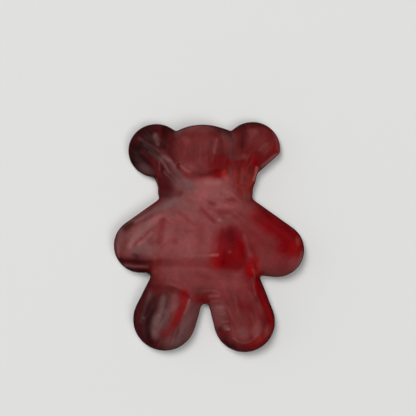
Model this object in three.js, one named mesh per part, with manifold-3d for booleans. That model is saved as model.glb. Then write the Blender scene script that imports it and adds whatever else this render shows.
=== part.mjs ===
// A large moulded gummy bear, one piece of set gelatine, lying on its flat back with its front up.
// Millimetres, +Z up, head towards +Y. The origin is in the plane of the flat back, halfway between
// the tips of the arms and halfway between the feet and the tops of the ears.
//
// The bear is made of soft rounded masses, here called lobes, that have run together in the mould.
// A lobe is an oval, or a limb that tapers between two round ends, and it rises to its own crown.
// Left and right are as seen from the bear's front.

import * as THREE from "three";
import { mergeVertices } from "three/addons/utils/BufferGeometryUtils.js";
import Module from "manifold-3d";

// ---- Driving dimensions -------------------------------------------------------------------

const GIRTH_HEIGHT = 4; // height above the back at which every lobe is widest
const TUCK = 8; // depth over which a lobe would close below its girth, were the back not flat
const DOME_POWER = 2.3; // 2 is an ellipse in section, more is fuller in the shoulder
const CREASE_FILLET = 4; // softness of the creases in the bear's front
const LIMB_FILLET = 2.8; // the notches between neck, arms, legs and ears are tighter

const HEAD = { at: [0.5, 36], reach: [27.8, 24], crown: 19.5 };
const FACE = { at: [-1.2, 45.3], reach: [21.8, 15.2], crown: 24 };
const MUZZLE = { at: [-0.5, 39.5], reach: [13.5, 9], crown: 26 };
const NECK = { at: [0.3, 24.5], reach: [25.7, 14], crown: 16 };

const CHEST = { at: [0.6, 12.5], reach: [26, 18.5], crown: 21 };
const BELLY = { at: [-0.6, -8], reach: [25.5, 24.5], crown: 25 };
const HIPS = { at: [-0.2, -8], reach: [32.5, 28], crown: 15 };

const LEFT_ARM = { from: [-14, 2.5], to: [-34.2, -4.5], radii: [20.8, 14.8], crown: 18 };
const RIGHT_ARM = { from: [14, 2.5], to: [38.8, -6.9], radii: [21.4, 14.7], crown: 18.5 };
const LEFT_LEG = { from: [-14.5, -26], to: [-21.6, -44.1], radii: [15.2, 17], crown: 18 };
const RIGHT_LEG = { from: [15.4, -27], to: [21.3, -45.4], radii: [15.2, 16.5], crown: 19.5 };

const LEFT_EAR = { at: [-26.1, 46.4], reach: [15.1, 14.5], crown: 14.5 };
// The right ear is flattened on the side towards the arm, this far from the ear's centre.
const EAR_FLAT = { facing: THREE.MathUtils.degToRad(-49), distance: 11.6 };
const CORNER_POWER = 10; // sharpness of the corners of that flat
const RIGHT_EAR = { at: [25.6, 47.4], reach: [15, 14.6], crown: 15, flat: EAR_FLAT };
const EAR_DISH = { radius: 6.5, depth: 1, onset: 4 }; // a shallow dish in the front of each ear

const MESH_STEP = 2.15; // spacing of the points on the surface
const RELAX_PASSES = 3; // rounds of evening out the triangles
const SETTLE_STEPS = 3;
const BEAR_COLOUR = 0x6e2226;

// ---- The bear as a field: below zero inside, above zero outside, roughly in millimetres ----

// How far a point in plan lies from an oval's centre, as a share of its reach, and the radius there.
// Where one side is flattened, the larger of the two shares counts, with a soft corner.
function shareOfOval(x, y, { at, reach, flat }) {
  const [dx, dy] = [x - at[0], y - at[1]];
  const round = Math.hypot(dx / reach[0], dy / reach[1]);
  const radius = Math.min(...reach);
  if (!flat) return { share: round, radius };
  const towards = (dx * Math.cos(flat.facing) + dy * Math.sin(flat.facing)) / flat.distance;
  const share = (round ** CORNER_POWER + Math.max(towards, 0) ** CORNER_POWER) ** (1 / CORNER_POWER);
  return { share, radius };
}

// The same for a limb, measured from the nearest point of the line between its two round ends.
function shareOfLimb(x, y, { from, to, radii }) {
  const along = [to[0] - from[0], to[1] - from[1]];
  const length = Math.hypot(...along);
  const offset = [x - from[0], y - from[1]];
  const run = (offset[0] * along[0] + offset[1] * along[1]) / length;
  const side = Math.abs(offset[0] * along[1] - offset[1] * along[0]) / length;
  // The nearest place on a tapering limb is further back the faster it tapers.
  const taper = (radii[0] - radii[1]) / length;
  const t = THREE.MathUtils.clamp((run - side * taper) / length, 0, 1);
  const radius = THREE.MathUtils.lerp(radii[0], radii[1], t);
  return { share: Math.hypot(run - t * length, side) / radius, radius };
}

function lobe(x, y, z, form) {
  const { share, radius } = form.at ? shareOfOval(x, y, form) : shareOfLimb(x, y, form);
  const rise = z - GIRTH_HEIGHT;
  const height = rise > 0 ? form.crown - GIRTH_HEIGHT : TUCK;
  const level = Math.abs(rise) / height;
  return ((share ** DOME_POWER + level ** DOME_POWER) ** (1 / DOME_POWER) - 1) * radius;
}

// Two fields joined, with a soft fillet in the crease.
function merge(a, b, fillet) {
  const near = Math.max(fillet - Math.abs(a - b), 0) / fillet;
  return Math.min(a, b) - (near * near * fillet) / 4;
}

// A bell of the given depth over a round spot, nought at twice the radius and beyond.
function dish(x, y, [cx, cy], { radius, depth }) {
  const reach = Math.hypot(x - cx, y - cy) / (2 * radius);
  return reach < 1 ? depth * (1 - reach * reach) ** 3 : 0;
}

function bear(x, y, z) {
  const part = (form) => lobe(x, y, z, form);
  const grown = (start, forms, fillet) =>
    forms.reduce((whole, form) => merge(whole, part(form), fillet), start);

  const head = grown(part(HEAD), [LEFT_EAR, RIGHT_EAR, NECK], LIMB_FILLET);
  const trunk = grown(part(HIPS), [LEFT_LEG, RIGHT_LEG, LEFT_ARM, RIGHT_ARM, CHEST], LIMB_FILLET);
  const whole = grown(merge(head, trunk, LIMB_FILLET), [BELLY, FACE, MUZZLE], CREASE_FILLET);

  const hollow = dish(x, y, LEFT_EAR.at, EAR_DISH) + dish(x, y, RIGHT_EAR.at, EAR_DISH);
  return whole + hollow * THREE.MathUtils.smoothstep(z, GIRTH_HEIGHT, GIRTH_HEIGHT + EAR_DISH.onset);
}

// ---- Surface of a field: one point in each cell that the surface crosses, joined by quads ----

const CORNERS = [0, 1, 2, 3, 4, 5, 6, 7].map((i) => [i & 1, (i >> 1) & 1, (i >> 2) & 1]);
const EDGES = CORNERS.flatMap((a, i) =>
  [1, 2, 4].filter((bit) => !(i & bit)).map((bit) => [i, i | bit]),
);

function surfaceOf(field, box, step) {
  const counts = box.getSize(new THREE.Vector3()).divideScalar(step).ceil().addScalar(1);
  const [nx, ny, nz] = counts.toArray();
  const at = (i, j, k) => i + nx * (j + ny * k);
  const place = (...cell) => new THREE.Vector3(...cell).multiplyScalar(step).add(box.min);
  const values = new Float64Array(nx * ny * nz);
  for (let k = 0; k < nz; k++)
    for (let j = 0; j < ny; j++)
      for (let i = 0; i < nx; i++) values[at(i, j, k)] = field(...place(i, j, k).toArray());

  // One point for each cell with corners on both sides, at the mean of its crossed edges.
  const points = [];
  const pointOf = new Map();
  for (let k = 0; k < nz - 1; k++)
    for (let j = 0; j < ny - 1; j++)
      for (let i = 0; i < nx - 1; i++) {
        const corner = CORNERS.map(([a, b, c]) => values[at(i + a, j + b, k + c)]);
        const crossed = EDGES.filter(([a, b]) => corner[a] < 0 !== corner[b] < 0);
        if (!crossed.length) continue;
        const mean = new THREE.Vector3();
        for (const [a, b] of crossed) {
          const t = corner[a] / (corner[a] - corner[b]);
          mean.add(new THREE.Vector3(...CORNERS[a]).lerp(new THREE.Vector3(...CORNERS[b]), t));
        }
        const [di, dj, dk] = mean.divideScalar(crossed.length).toArray();
        pointOf.set(at(i, j, k), points.length);
        points.push(settle(field, place(i + di, j + dj, k + dk)));
      }

  // One quad for each grid edge that the surface crosses, turned to face outwards.
  const index = [];
  const [X, Y, Z] = [[1, 0, 0], [0, 1, 0], [0, 0, 1]];
  const sides = [[X, Y, Z], [Y, Z, X], [Z, X, Y]];
  for (let k = 1; k < nz - 1; k++)
    for (let j = 1; j < ny - 1; j++)
      for (let i = 1; i < nx - 1; i++)
        for (const [way, u, v] of sides) {
          const here = values[at(i, j, k)] < 0;
          if (here === values[at(i + way[0], j + way[1], k + way[2])] < 0) continue;
          const ring = [[0, 0], [1, 0], [1, 1], [0, 1]].map(([a, b]) =>
            pointOf.get(at(i - a * u[0] - b * v[0], j - a * u[1] - b * v[1], k - a * u[2] - b * v[2])),
          );
          if (!here) ring.reverse();
          const [a, b, c, d] = ring;
          const shorter = points[a].distanceTo(points[c]) < points[b].distanceTo(points[d]);
          index.push(...(shorter ? [a, b, c, a, c, d] : [a, b, d, b, c, d]));
        }

  for (let pass = 0; pass < RELAX_PASSES; pass++) relax(field, points, index);
  return new THREE.BufferGeometry().setFromPoints(points).setIndex(index);
}

// Evens out the triangles: each point moves towards the middle of its neighbours, and back onto
// the surface.
function relax(field, points, index) {
  const sums = points.map(() => new THREE.Vector3());
  const shares = points.map(() => 0);
  index.forEach((a, n) => {
    const b = index[n % 3 === 2 ? n - 2 : n + 1];
    sums[a].add(points[b]);
    sums[b].add(points[a]);
    shares[a]++;
    shares[b]++;
  });
  points.forEach((point, n) => {
    point.lerp(sums[n].divideScalar(shares[n]), 0.5);
    settle(field, point);
  });
}

// Slides a point onto the surface along the field's slope, in a few short steps.
function settle(field, point) {
  const nudge = 0.01;
  const longest = MESH_STEP / 4;
  for (let n = 0; n < SETTLE_STEPS; n++) {
    const { x, y, z } = point;
    const value = field(x, y, z);
    const slope = new THREE.Vector3(
      field(x + nudge, y, z) - value,
      field(x, y + nudge, z) - value,
      field(x, y, z + nudge) - value,
    ).divideScalar(nudge);
    const move = slope.multiplyScalar(-value / slope.lengthSq());
    point.add(move.clampLength(0, longest));
  }
  return point;
}

// ---- Solids -------------------------------------------------------------------------------

const wasm = await Module();
wasm.setup();

function solidOf(geometry) {
  const bare = geometry.index ? geometry.toNonIndexed() : geometry.clone();
  bare.deleteAttribute("normal");
  bare.deleteAttribute("uv");
  const merged = mergeVertices(bare, 1e-4);
  return new wasm.Manifold(
    new wasm.Mesh({
      numProp: 3,
      vertProperties: merged.getAttribute("position").array,
      triVerts: new Uint32Array(merged.index.array),
    }),
  );
}

function geometryOf(solid) {
  const { vertProperties, triVerts } = solid.getMesh();
  const geometry = new THREE.BufferGeometry()
    .setAttribute("position", new THREE.BufferAttribute(vertProperties, 3))
    .setIndex(new THREE.BufferAttribute(triVerts, 1));
  geometry.computeVertexNormals();
  return geometry;
}

// The bear, with everything below the back's plane cut away.
function gummyBear() {
  const space = new THREE.Box3(new THREE.Vector3(-56, -68, -10), new THREE.Vector3(60, 70, 31));
  const { x: width, y: length } = space.getSize(new THREE.Vector3());
  const below = new THREE.BoxGeometry(2 * width, 2 * length, 20).translate(0, 0, -10);
  const whole = solidOf(surfaceOf(bear, space, MESH_STEP));
  const geometry = geometryOf(whole.subtract(solidOf(below)));

  geometry.computeBoundingBox();
  const middle = geometry.boundingBox.getCenter(new THREE.Vector3());
  geometry.translate(-middle.x, -middle.y, 0);

  const gelatine = new THREE.MeshStandardMaterial({
    color: BEAR_COLOUR,
    roughness: 0.3,
    metalness: 0,
  });
  const mesh = new THREE.Mesh(geometry, gelatine);
  mesh.name = "gummy_bear";
  return mesh;
}

const gummy = new THREE.Group();
gummy.add(gummyBear());

export default gummy;
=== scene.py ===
import math
from contextlib import contextmanager

import bmesh
import bpy
import numpy as np
from bpy.props import FloatProperty, FloatVectorProperty, IntProperty, PointerProperty
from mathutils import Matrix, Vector, noise


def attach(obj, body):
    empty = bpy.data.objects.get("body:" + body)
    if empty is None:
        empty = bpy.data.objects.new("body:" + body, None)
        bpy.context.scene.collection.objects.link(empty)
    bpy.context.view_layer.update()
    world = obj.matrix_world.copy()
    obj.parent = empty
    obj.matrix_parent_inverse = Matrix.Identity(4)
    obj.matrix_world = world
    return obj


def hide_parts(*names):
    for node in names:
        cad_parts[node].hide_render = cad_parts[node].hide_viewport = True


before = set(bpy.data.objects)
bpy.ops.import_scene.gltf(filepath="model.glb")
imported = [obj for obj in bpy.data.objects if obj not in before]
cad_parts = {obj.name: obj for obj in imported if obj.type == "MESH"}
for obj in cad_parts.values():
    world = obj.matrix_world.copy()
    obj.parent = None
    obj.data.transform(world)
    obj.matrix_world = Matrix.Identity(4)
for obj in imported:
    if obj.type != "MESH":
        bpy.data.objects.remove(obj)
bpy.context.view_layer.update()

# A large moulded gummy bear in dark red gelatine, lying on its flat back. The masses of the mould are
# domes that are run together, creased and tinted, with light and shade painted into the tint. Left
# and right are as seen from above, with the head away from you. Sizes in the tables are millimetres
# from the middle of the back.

bl_info = {
    "name": "Large gummy bear",
    "version": (1, 0, 0),
    "blender": (4, 5, 0),
    "location": "3D View > Sidebar > Gummy",
    "description": "Models a moulded gummy bear and the studio that it lies in",
    "category": "Add Mesh",
}

MM = 0.001
PIECE = "gummy_bear_gelatine"


def from_hex(colour):
    """An sRGB hex colour as the linear red, green and blue that Blender works in."""
    shares = [((colour >> shift) & 255) / 255 for shift in (16, 8, 0)]
    return tuple(s / 12.92 if s <= 0.04045 else ((s + 0.055) / 1.055) ** 2.4 for s in shares)


# ---- Settings ----


def setting(name, value, description, kind=FloatProperty, **more):
    return kind(name=name, description=description, default=value, **more)


def spot(name, place, description):
    """A place in plan, or two sizes, from millimetres."""
    metres = [value * MM for value in place]
    return setting(name, metres, description, FloatVectorProperty, size=2, subtype="XYZ_LENGTH")


def colour(name, code, description):
    look = from_hex(code)
    return setting(name, look, description, FloatVectorProperty, subtype="COLOR", min=0, max=1)


def length(name, millimetres, description):
    return setting(name, millimetres * MM, description, unit="LENGTH", min=0)


def share(name, value, description):
    return setting(name, value, description, subtype="FACTOR", min=0, max=1)


# What is set for a rounded mass, and for an arm or a leg. A crown is its height above the flat back.
OVAL_SIZES = {"at": "Middle", "reach": "Half width and half length", "crown": "Height"}
LIMB_SIZES = {
    "from": "Middle of the root", "to": "Middle of the round end",
    "radii": "Radius at the root and at the end", "crown": "Height",
}

OVALS = {
    "head": ((0.5, 36), (27.8, 24), 19.5),
    "face": ((-1.2, 45.3), (21.8, 15.2), 24),
    "muzzle": ((-0.5, 39.5), (13.5, 9), 26),
    "neck": ((0.3, 24.5), (25.7, 14), 16),
    "chest": ((0.6, 12.5), (26, 18.5), 21),
    "belly": ((-0.6, -8), (25.5, 24.5), 25),
    "hips": ((-0.2, -8), (32.5, 28), 15),
    "left_ear": ((-26.1, 46.4), (15.1, 14.5), 14.5),
    "right_ear": ((25.6, 47.4), (15, 14.6), 15),
}
LIMBS = {
    "left_arm": ((-14, 2.5), (-34.2, -4.5), (20.8, 14.8), 18),
    "right_arm": ((14, 2.5), (38.8, -6.9), (21.4, 14.7), 18.5),
    "left_leg": ((-14.5, -26), (-21.6, -44.1), (15.2, 17), 18),
    "right_leg": ((15.4, -27), (21.3, -45.4), (15.2, 16.5), 19.5),
}


def mass_settings():
    """A setting for each size of each mass, such as left_arm_radii."""
    settings = {}
    for masses, sizes in ((OVALS, OVAL_SIZES), (LIMBS, LIMB_SIZES)):
        for mass, values in masses.items():
            title = mass.replace("_", " ")
            for (size, meaning), value in zip(sizes.items(), values):
                kind = length if size == "crown" else spot
                label = f"{title} {size}".capitalize()
                settings[f"{mass}_{size}"] = kind(label, value, f"{meaning} of the {title}")
    return settings


def sizes_of(shape, mass, sizes):
    return [getattr(shape, f"{mass}_{size}") for size in sizes]


class GummyBearShape(bpy.types.PropertyGroup):
    """How the masses of the mould rise, run together and are worked over."""

    girth: length("Girth height", 4, "Height above the back at which every mass is widest")
    tuck: length("Tuck", 8, "Depth over which a mass would close below its girth")
    shoulder: share("Shoulder", 0.2, "How much fuller than a ball each mass is in its shoulder")
    ear_flat_facing: setting(
        "Ear flat facing", math.radians(-49),
        "Way that the flattened side of the right ear faces, from the width axis", subtype="ANGLE",
    )
    ear_flat: length("Ear flat", 11.6, "Distance of the flattened side from the right ear's middle")
    ear_dish: length("Ear dish", 1, "Depth of the shallow dish in each ear")
    ear_dish_reach: length("Ear dish reach", 12, "Radius at which each dish has faded out")
    grain: length("Surface grain", 0.56, "Spacing of the points on the finished surface")
    softness: setting("Crease softness", 35, "Smoothing of the creases between masses", IntProperty, min=0)
    front_softness: setting("Front softness", 140, "Smoothing of the front alone", IntProperty, min=0)
    crease: length("Crease depth", 0.55, "Depth of the deepest creases pressed into the front")
    fold: length("Fold height", 0.3, "Height of the highest folds that stand up on the front")


GummyBearShape.__annotations__.update(mass_settings())


class GummyBearFinish(bpy.types.PropertyGroup):
    """The tones of the gelatine, painted light and shade among them, and how it shines."""

    dry_roughness: share("Dry roughness", 0.55, "Roughness where the surface is dull")
    wet_roughness: share("Wet roughness", 0.14, "Roughness where the surface is wet")
    depth: length("Light depth", 2.2, "How far red light travels inside the gelatine")


# Each tone's colour, how wet the surface is there, from 0 to 1, and its meaning. Flesh and clear are
# the gelatine's own colours; the others hold painted light and shade, as the line above each says.
TONES = {
    "flesh": (0x6E1A1C, 0.35, "Dark red gelatine seen through a dull surface"),
    # Painted shade: the flesh tone, darker.
    "shaded_flesh": (0x53100F, 0.4, "The same, thicker and darker"),
    # A dull, dried surface with painted sheen on it: soft light reflected as a pink haze.
    "bloom_and_sheen": (0x824343, 0.12, "Pink haze where the surface has dried"),
    # Painted grey sheen: soft light reflected on the thickest bloom.
    "painted_grey_sheen": (0x6E4F4E, 0.18, "Greyish haze, the thickest bloom"),
    # Painted highlights on the edges of folds.
    "painted_highlight": (0x955654, 0.25, "Pale edges of folds that catch the light"),
    "clear": (0x78040C, 0.95, "Deep red where the surface is wet and clear"),
    # Painted glow: light coming through the gelatine, put in as bright red.
    "painted_glow": (0x90070B, 0.9, "Bright red where light comes through the gelatine"),
    # Painted glow: orange red at the thinnest, brightest spots.
    "painted_orange_glow": (0xA82E20, 0.9, "Orange red of the thinnest, brightest spots"),
    # Painted glints on wet folds.
    "painted_glint": (0xB9584E, 0.9, "Small glints on wet folds"),
    # Thick gelatine at the edges, darkened to nearly black red by painted shade.
    "painted_deep_shade": (0x200507, 0.35, "Nearly black red of thick gelatine at the edges"),
    # Painted dim sheen over painted shade on thick, dark gelatine.
    "sheen_over_shade": (0x341013, 0.3, "Bloom over thick, dark gelatine"),
}
FLESH, SHADED_FLESH, BLOOM_AND_SHEEN, PAINTED_GREY_SHEEN, PAINTED_HIGHLIGHT, CLEAR, PAINTED_GLOW, PAINTED_ORANGE_GLOW, PAINTED_GLINT, PAINTED_DEEP_SHADE, SHEEN_OVER_SHADE = TONES
GummyBearFinish.__annotations__.update({
    tone: colour(tone.capitalize(), code, meaning) for tone, (code, _, meaning) in TONES.items()
})


class GummyBearStudio(bpy.types.PropertyGroup):
    """The floor, the lamps and the camera."""

    floor: colour("Floor", 0xDCDCDA, "Plain pale floor")
    key: setting("Key", 120, "Power of the softbox overhead", unit="POWER")
    fill: setting("Fill", 66, "Power of the lamp that evens the light", unit="POWER")
    side: setting("Side", 30, "Power of the softbox on the left", unit="POWER")
    room: setting("Room", 0.25, "Light from the room's walls", min=0)
    backdrop: setting("Backdrop", 0.62, "Brightness behind the floor", min=0)
    lens: setting("Lens", 200, "Focal length of the camera", subtype="DISTANCE_CAMERA")
    view_at: spot("View", (-0.54, 15.6), "Place that the camera looks down on")
    view_width: length("View width", 223.6, "Width of what the camera sees")


# ---- Modelling ----


def clear_selection():
    if bpy.context.object and bpy.context.object.mode != "OBJECT":
        bpy.ops.object.mode_set(mode="OBJECT")
    bpy.ops.object.select_all(action="DESELECT")


def take(piece):
    """Makes this the one selected, active object."""
    clear_selection()
    piece.select_set(True)
    bpy.context.view_layer.objects.active = piece


@contextmanager
def editing(piece):
    """Edit mode with all selected, and object mode after it."""
    take(piece)
    bpy.ops.object.mode_set(mode="EDIT")
    bpy.ops.mesh.select_all(action="SELECT")
    yield
    bpy.ops.object.mode_set(mode="OBJECT")


def finish_with(piece, kind, **settings):
    """Adds a modifier and applies it."""
    take(piece)
    modifier = piece.modifiers.new(kind.title(), kind)
    for key, value in settings.items():
        setattr(modifier, key, value)
    bpy.ops.object.modifier_apply(modifier=modifier.name)


def select_where(piece, test):
    """In edit mode, selects the points whose place passes the test."""
    mesh = bmesh.from_edit_mesh(piece.data)
    for point in mesh.verts:
        point.select = test(point.co)
    mesh.select_flush(True)
    mesh.select_flush(False)
    bmesh.update_edit_mesh(piece.data)


DOME_SEGMENTS, DOME_RINGS = 72, 36
ROUNDING = 1e-6  # a point this far, in metres, from a level or a cut counts as on it


def add_dome(shape, at, reach, crown):
    """One soft mass of the mould: a ball, fuller in its shoulder, widest at the girth, that rises to
    its crown above the girth and closes a little way below it."""
    clear_selection()
    bpy.ops.mesh.primitive_uv_sphere_add(segments=DOME_SEGMENTS, ring_count=DOME_RINGS, radius=1)
    dome = bpy.context.object
    finish_with(dome, "CAST", cast_type="CYLINDER", factor=shape.shoulder, size=1)
    with editing(dome):
        for above, height in ((True, crown - shape.girth), (False, shape.tuck)):
            select_where(dome, lambda place: (place.z > ROUNDING) == above)
            bpy.ops.transform.resize(value=(1, 1, height), center_override=(0, 0, 0))
        bpy.ops.mesh.select_all(action="SELECT")
        bpy.ops.transform.resize(value=(*reach, 1), center_override=(0, 0, 0))
        bpy.ops.transform.translate(value=(*at, shape.girth))
    return dome


def cut_away(piece, through, facing):
    """Cuts off what lies beyond a plane and closes the cut."""
    with editing(piece):
        bpy.ops.mesh.bisect(
            plane_co=through, plane_no=facing, use_fill=True, clear_outer=True, threshold=ROUNDING
        )


def join(pieces):
    clear_selection()
    for piece in pieces:
        piece.select_set(True)
    bpy.context.view_layer.objects.active = pieces[0]
    bpy.ops.object.join()
    return pieces[0]


def add_limb(shape, start, end, radii, crown):
    """An arm or a leg: a dome at each end, with skin drawn tight round both."""
    limb = join([
        add_dome(shape, start, (radii[0], radii[0]), crown),
        add_dome(shape, end, (radii[1], radii[1]), crown),
    ])
    with editing(limb):
        bpy.ops.mesh.convex_hull()
    return limb


# Where the right ear's side is cut, as shares of the dome's rise, and the power of the curve that the
# cuts follow, where a circle's is 2.
CUT_LEVELS = (0, 0.3, 0.5, 0.7, 0.85)
CUT_POWER = 2.3


def flatten_ear(shape, ear):
    """Pares the side of the right ear flat, and leans the cut in towards the crown as the dome does."""
    facing = Vector((math.cos(shape.ear_flat_facing), math.sin(shape.ear_flat_facing), 0))
    rise = shape.right_ear_crown - shape.girth
    for level in CUT_LEVELS:
        inwards = (1 - level**CUT_POWER) ** (1 / CUT_POWER)
        middle = Vector((*shape.right_ear_at, shape.girth + level * rise))
        lean = (level / inwards) ** (CUT_POWER - 1) * shape.ear_flat / rise
        outwards = (facing + Vector((0, 0, lean))).normalized()
        cut_away(ear, middle + facing * shape.ear_flat * inwards, outwards)


# How far up the surface faces, by the upward part of its normal, where something starts and where it
# is full: the front's smoothing, creases and folds, and the marks.
SMOOTHED = (0.35, 0.8)
PRESSED = (-0.05, 0.35)
MARKED = (-0.1, 0.3)


def run_together(shape, masses):
    """The masses as one closed skin, flat on its back, with the creases between them softened."""
    for mass in masses:
        cut_away(mass, (0, 0, 0), (0, 0, -1))
    bear = join(masses)
    finish_with(bear, "REMESH", mode="VOXEL", voxel_size=shape.grain)
    finish_with(bear, "SMOOTH", iterations=shape.softness)
    weigh(bear, "front", ease(normals_of(bear)[:, 2], *SMOOTHED))
    finish_with(bear, "SMOOTH", iterations=shape.front_softness, vertex_group="front")
    return bear


def weigh(piece, name, weight, steps=24):
    """Puts the points in a vertex group with these weights, in so many steps."""
    group = piece.vertex_groups.new(name=name)
    level = np.round(np.clip(weight, 0, 1) * steps).astype(int)
    for step in range(1, steps + 1):
        group.add(np.flatnonzero(level == step).tolist(), step / steps, "REPLACE")


def press_ears(shape, bear):
    """Presses a shallow dish into each ear, as with a fingertip."""
    with editing(bear):
        for ear in ("left_ear", "right_ear"):
            at, _, crown = sizes_of(shape, ear, OVAL_SIZES)
            away = ((points_of(bear) - np.array((*at, crown))) ** 2).sum(axis=1)
            bpy.ops.mesh.select_all(action="DESELECT")
            mesh = bmesh.from_edit_mesh(bear.data)
            mesh.verts.ensure_lookup_table()
            mesh.verts[int(np.argmin(away))].select = True
            bpy.ops.transform.translate(
                value=(0, 0, -shape.ear_dish),
                use_proportional_edit=True,
                proportional_edit_falloff="SMOOTH",
                proportional_size=shape.ear_dish_reach,
            )


def points_of(piece):
    """The places of a piece's points, in metres, one row each."""
    piece.update_from_editmode()
    places = np.empty(len(piece.data.vertices) * 3)
    piece.data.vertices.foreach_get("co", places)
    return places.reshape(-1, 3)


def normals_of(piece):
    normals = np.empty(len(piece.data.vertices) * 3, np.float32)
    piece.data.vertex_normals.foreach_get("vector", normals)
    return normals.reshape(-1, 3).astype(float)


def centre_on_back(bear):
    """Puts the middle of the bear's outline over the origin, and its flat back at the height of 0."""
    take(bear)
    places = points_of(bear)
    low, high = places.min(axis=0), places.max(axis=0)
    bear.location = (-(low[0] + high[0]) / 2, -(low[1] + high[1]) / 2, -low[2])
    bpy.ops.object.transform_apply(location=True)


# ---- Strokes on the front ----


def ease(value, start, stop):
    """0 at start, 1 at stop, with a soft turn at both ends."""
    t = np.clip((value - start) / (stop - start), 0, 1)
    return t * t * (3 - 2 * t)


def away_from_line(plan, line):
    """Distance in plan from the nearest place on a line of points."""
    nearest = np.full(len(plan), np.inf)
    for start, stop in zip(line[:-1], line[1:]):
        run = stop - start
        t = np.clip(((plan - start) @ run) / (run @ run), 0, 1)
        nearest = np.minimum(nearest, np.hypot(*(plan - start - t[:, None] * run).T))
    return nearest


def rounded(line, passes=3):
    """A line with its corners cut, so that a stroke bends softly."""
    line = np.array(line, float)
    if len(line) < 3:
        return line
    for _ in range(passes):
        quarter = line[:-1] * 0.75 + line[1:] * 0.25
        three_quarters = line[:-1] * 0.25 + line[1:] * 0.75
        inner = np.stack([quarter, three_quarters], axis=1).reshape(-1, 2)
        line = np.vstack([line[:1], inner, line[-1:]])
    return line


def turned(plan, degrees):
    """How far each place lies along a direction, and across it."""
    c, s = math.cos(math.radians(degrees)), math.sin(math.radians(degrees))
    return plan @ np.array([c, s]), plan @ np.array([-s, c])


LAYER_STEP = 7.3  # between layers of noise, so that they look unlike


def soft_noise(plan, size, layer, turn=0, drawn_out=1):
    """Smooth noise of this size from -1 to 1, drawn out along a direction. Each layer differs."""
    along, across = turned(plan, turn)
    along, across = along / (size * drawn_out), across / size
    return np.array([noise.noise(Vector((x, y, LAYER_STEP * layer))) for x, y in zip(along, across)])


def unsteady(plan, size, amount):
    """The same places, each nudged by smooth noise, so that marks waver."""
    return plan + amount * np.stack([soft_noise(plan, size, layer) for layer in (1, 2)], axis=1)


STROKE_FADE = 0.8  # how fast a stroke fades past its side


def on_line(plan, width, line):
    """1 along the line, fading out at its sides and beyond its ends."""
    reach = away_from_line(plan, rounded(line)) / (width / 2)
    return np.exp(-STROKE_FADE * reach**3)


def in_oval(plan, middle, reach, edge=0.5, turn=0):
    """1 inside an oval, fading out over its edge: 1 is soft all the way, 0.2 is quite sharp."""
    along, across = turned(plan - np.array(middle, float), turn)
    return 1 - ease(np.hypot(along / reach[0], across / reach[1]), 1 - edge, 1 + edge)


def patch(tone, strength, middle, reach, edge=0.8, turn=0):
    """A mark in one tone: an oval's middle and reach, how soft its edge is, and its turn in degrees."""
    return tone, strength, lambda plan: in_oval(plan, middle, reach, edge, turn)


def streak(tone, strength, width, *line):
    """A mark in one tone: a brush stroke of one width along a line."""
    return tone, strength, lambda plan: on_line(plan, width, line)


# Creases pressed into the front: depth as a share of the deepest, width, and the line.
CREASES = (
    (1, 1.6, (-48, -13.2), (-39, -14), (-32, -13.8)),  # under the left arm
    (0.3, 3.4, (-31, -13.8), (-20, -14), (-8, -14.2), (2, -13.6)),
    (0.7, 1.8, (-33.3, -25.3), (-21, -26.6), (-14.7, -28.6), (-6.5, -33.8)),  # above the left leg
    (0.6, 1.8, (-27.6, -31.7), (-31.2, -40.9), (-33.8, -47.6)),
    (0.5, 1.6, (-16.8, 38.3), (-8.8, 31.9), (-5.9, 31.2), (7, 33.9), (10.8, 40.9)),  # chin
    (0.6, 1.8, (-23.8, 58), (-24.8, 45.3)),  # beside the left ear
    (0.5, 1.8, (19, 54.3), (17.7, 42.5)),  # beside the right ear
    (0.5, 1.3, (0.3, 47), (0.3, 38.2)),
    (0.5, 1.4, (22.3, -4.7), (24.4, -8.9), (24, -14)),  # between belly and right arm
    (0.35, 1.2, (-4.3, 14.5), (0.5, 11), (4.3, 7)),  # on the chest
    (0.35, 1, (6.2, 13.9), (10.5, 13.6)),
    (0.3, 1, (0, 18.3), (4, 17.7)),
    (0.3, 1, (9.6, 20.3), (14, 19.4)),
    (0.25, 1.2, (-35, 0), (-37.8, -2.6), (-40.2, -5.2)),  # on the left arm
    (0.6, 1.6, (27.4, -31.7), (31.6, -40.9), (34.1, -49.7), (32.6, -53.8)),  # down the right leg
    (0.15, 1.4, (13, -53.2), (17, -57.3), (23.4, -56.3), (28.4, -51.4)),  # round the right foot
)

# Folds that stand up: height as a share of the highest, width, and the line.
FOLDS = (
    (1, 2.6, (-36.6, 53.2), (-27.5, 46.3), (-21.1, 40.4), (-13.6, 34), (-9.3, 26.5)),
    (0.8, 2.4, (-33.9, 45.8), (-25.9, 38.8), (-18.4, 31.9), (-11.4, 26.5)),
    (0.8, 2.6, (-41.4, -4), (-36.8, 3), (-32.8, 7), (-28.6, 9.8)),
    (0.6, 1.8, (-37.4, -4), (-34.8, -2), (-31.6, 1.6)),
    (0.8, 2.8, (-41.7, 8.6), (-33.6, 13.5), (-25.3, 18), (-18.3, 19.8)),
    (0.3, 1.2, (-4.3, -9.1), (4.8, -9.1)),
    (0.6, 1.6, (-46, -14.9), (-37.8, -15.6), (-33, -15.1)),
    (0.6, 1.4, (18.8, -1.9), (20.2, -7.1), (22.3, -11)),
    (0.35, 1.1, (2.8, -32.3), (8, -32)),
    (0.35, 1.1, (3.6, -37.3), (9.5, -36.8)),
    (0.35, 1.1, (5, -41.4), (10.5, -41)),
    (0.35, 1.1, (7, -46.8), (11.5, -46.6)),
    (0.5, 1.2, (8.3, -49.9), (12.5, -49.3)),
    (0.45, 1.4, (13.1, -51.7), (17.1, -55.8), (23.3, -54.8), (28, -50.2)),
    (0.5, 1, (3, 51.6), (3, 46.2)),
    (0.6, 1.2, (25.5, 35.1), (22.3, 27.6)),
    (0.4, 1, (-13.6, 37.1), (-9.3, 33.9)),
)
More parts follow.
